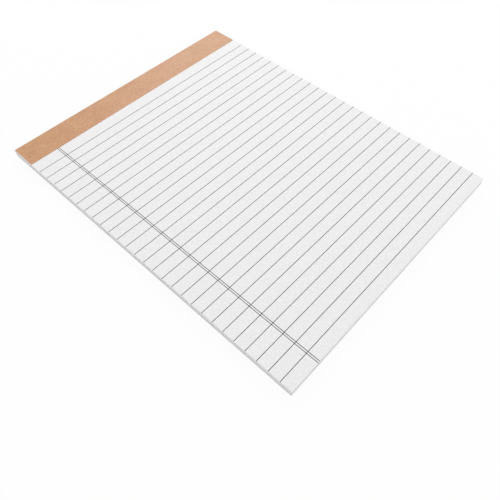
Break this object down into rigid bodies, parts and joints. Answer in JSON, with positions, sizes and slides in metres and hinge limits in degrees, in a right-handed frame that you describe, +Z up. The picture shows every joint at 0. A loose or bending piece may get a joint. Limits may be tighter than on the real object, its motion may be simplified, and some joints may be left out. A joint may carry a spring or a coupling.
{
  "type": "notepad",
  "caption": "Flat ruled writing pad: white sheets with thin dark rules and a double margin line on a stiff board, bound along the head by a folded strip of tan kraft tape.",
  "frame": {"origin": "middle of the underside, where the pad rests", "axes": "+X across the sheet to the right, +Y up the sheet to the bound head, +Z up out of the face of the pad"},
  "size_m": [0.2096, 0.2676, 0.0059],
  "materials": {
    "sheets": "uncoated white writing paper, matt",
    "ink": "black printing ink, matt",
    "board": "pale recycled greyboard, matt",
    "tape": "tan kraft paper tape, satin",
    "wire": "galvanised staple wire"
  },
  "bodies": {
    "root": {"page_block": "sheets", "ruled_lines": "ink", "backing_board": "board", "binding_tape": "tape", "staples": "wire"}
  },
  "joints": []
}
